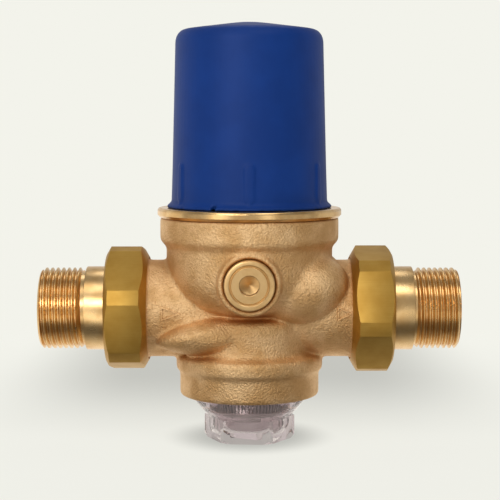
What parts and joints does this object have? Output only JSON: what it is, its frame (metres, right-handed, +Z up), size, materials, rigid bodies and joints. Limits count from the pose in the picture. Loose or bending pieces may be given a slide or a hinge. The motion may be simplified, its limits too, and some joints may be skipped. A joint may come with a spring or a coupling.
{
  "type": "pressure reducing valve",
  "caption": "Brass water pressure reducing valve with union tailpieces, blue setting cap, clear strainer bowl and front gauge plug.",
  "frame": {"origin": "centre of the underside of the clear bowl's hexagon foot, on which the valve stands", "axes": "+Z up the cap's axis, +X along the flow out of the outlet, -Y towards the gauge plug"},
  "size_m": [0.1356, 0.0598, 0.1324],
  "materials": {
    "cast_gunmetal": "shot-blasted sand casting",
    "turned_brass": "bright turned",
    "nut_brass": "satin with fine tool lines",
    "blue_plastic": "satin moulded",
    "clear_plastic": "clear moulded plastic",
    "strainer_steel": "fine slotted sheet",
    "steel": "turned",
    "spring_steel": "zinc plated wire",
    "inner_brass": "turned",
    "black_rubber": "moulded rubber",
    "gasket_fibre": "pressed fibre sheet"
  },
  "bodies": {
    "body": {"valve_body": "cast_gunmetal", "bonnet": "turned_brass", "diaphragm": "black_rubber", "slip_ring": "inner_brass", "seat_insert": "inner_brass", "seat_o_ring": "black_rubber"},
    "cap": {"adjusting_cap": "blue_plastic", "adjusting_spindle": "steel", "thrust_washer": "steel", "spindle_clip": "steel"},
    "spring_carrier": {"spring_nut_plate": "steel", "set_spring": "spring_steel"},
    "stem": {"spring_seat_plate": "steel", "diaphragm_support_plate": "steel", "valve_stem": "steel", "stem_nut": "steel", "poppet": "inner_brass", "valve_seal": "black_rubber", "poppet_nut": "steel"},
    "basket": {"strainer": "strainer_steel"},
    "bowl": {"clear_bowl": "clear_plastic", "bowl_o_ring": "black_rubber"},
    "inlet_tail": {"inlet_tailpiece": "turned_brass", "inlet_gasket": "gasket_fibre"},
    "inlet_nut": {"inlet_union_nut": "nut_brass"},
    "outlet_tail": {"outlet_tailpiece": "turned_brass", "outlet_gasket": "gasket_fibre"},
    "outlet_nut": {"outlet_union_nut": "nut_brass"},
    "plug_ring": {"gauge_plug_seal": "gasket_fibre"},
    "plug": {"gauge_plug": "turned_brass"}
  },
  "joints": [
    {"name": "cap_turn", "type": "hinge", "parent": "body", "child": "cap", "pos_m": [0, 0, 0.1], "axis": [0, 0, 1], "range_deg": [-1440, 1800]},
    {"name": "spring_plate_travel", "type": "slide", "parent": "body", "child": "spring_carrier", "axis": [0, 0, 1], "range_m": [-0.006, 0.0075], "deforming": ["set_spring"]},
    {"name": "valve_lift", "type": "slide", "parent": "body", "child": "stem", "axis": [0, 0, 1], "range_m": [0, 0.002], "stiffness_N_per_m": 5000, "springref_m": -0.001, "deforming": ["diaphragm"]},
    {"name": "bowl_travel", "type": "slide", "parent": "body", "child": "basket", "axis": [0, 0, -1], "range_m": [0, 0.0075]},
    {"name": "bowl_turn", "type": "hinge", "parent": "basket", "child": "bowl", "pos_m": [0, 0, 0.017], "axis": [0, 0, -1], "range_deg": [0, 1800]},
    {"name": "inlet_union_travel", "type": "slide", "parent": "body", "child": "inlet_tail", "axis": [-1, 0, 0], "range_m": [0, 0.00693]},
    {"name": "inlet_union_turn", "type": "hinge", "parent": "inlet_tail", "child": "inlet_nut", "pos_m": [-0.0395, 0, 0.0408], "axis": [-1, 0, 0], "range_deg": [0, 1080]},
    {"name": "outlet_union_travel", "type": "slide", "parent": "body", "child": "outlet_tail", "axis": [1, 0, 0], "range_m": [0, 0.00693]},
    {"name": "outlet_union_turn", "type": "hinge", "parent": "outlet_tail", "child": "outlet_nut", "pos_m": [0.0395, 0, 0.0408], "axis": [1, 0, 0], "range_deg": [0, 1080]},
    {"name": "gauge_plug_travel", "type": "slide", "parent": "body", "child": "plug_ring", "axis": [0, -1, 0], "range_m": [0, 0.00535]},
    {"name": "gauge_plug_turn", "type": "hinge", "parent": "plug_ring", "child": "plug", "pos_m": [0, -0.0255, 0.0512], "axis": [0, -1, 0], "range_deg": [0, 1440]}
  ],
  "couplings": [
    {"joint": "cap_turn", "follows": "spring_plate_travel", "rad_per_m": 4188.8},
    {"joint": "bowl_turn", "follows": "bowl_travel", "rad_per_m": 4188.8},
    {"joint": "inlet_union_turn", "follows": "inlet_union_travel", "rad_per_m": 2721.2},
    {"joint": "outlet_union_turn", "follows": "outlet_union_travel", "rad_per_m": 2721.2},
    {"joint": "gauge_plug_turn", "follows": "gauge_plug_travel", "rad_per_m": 4699.5}
  ]
}
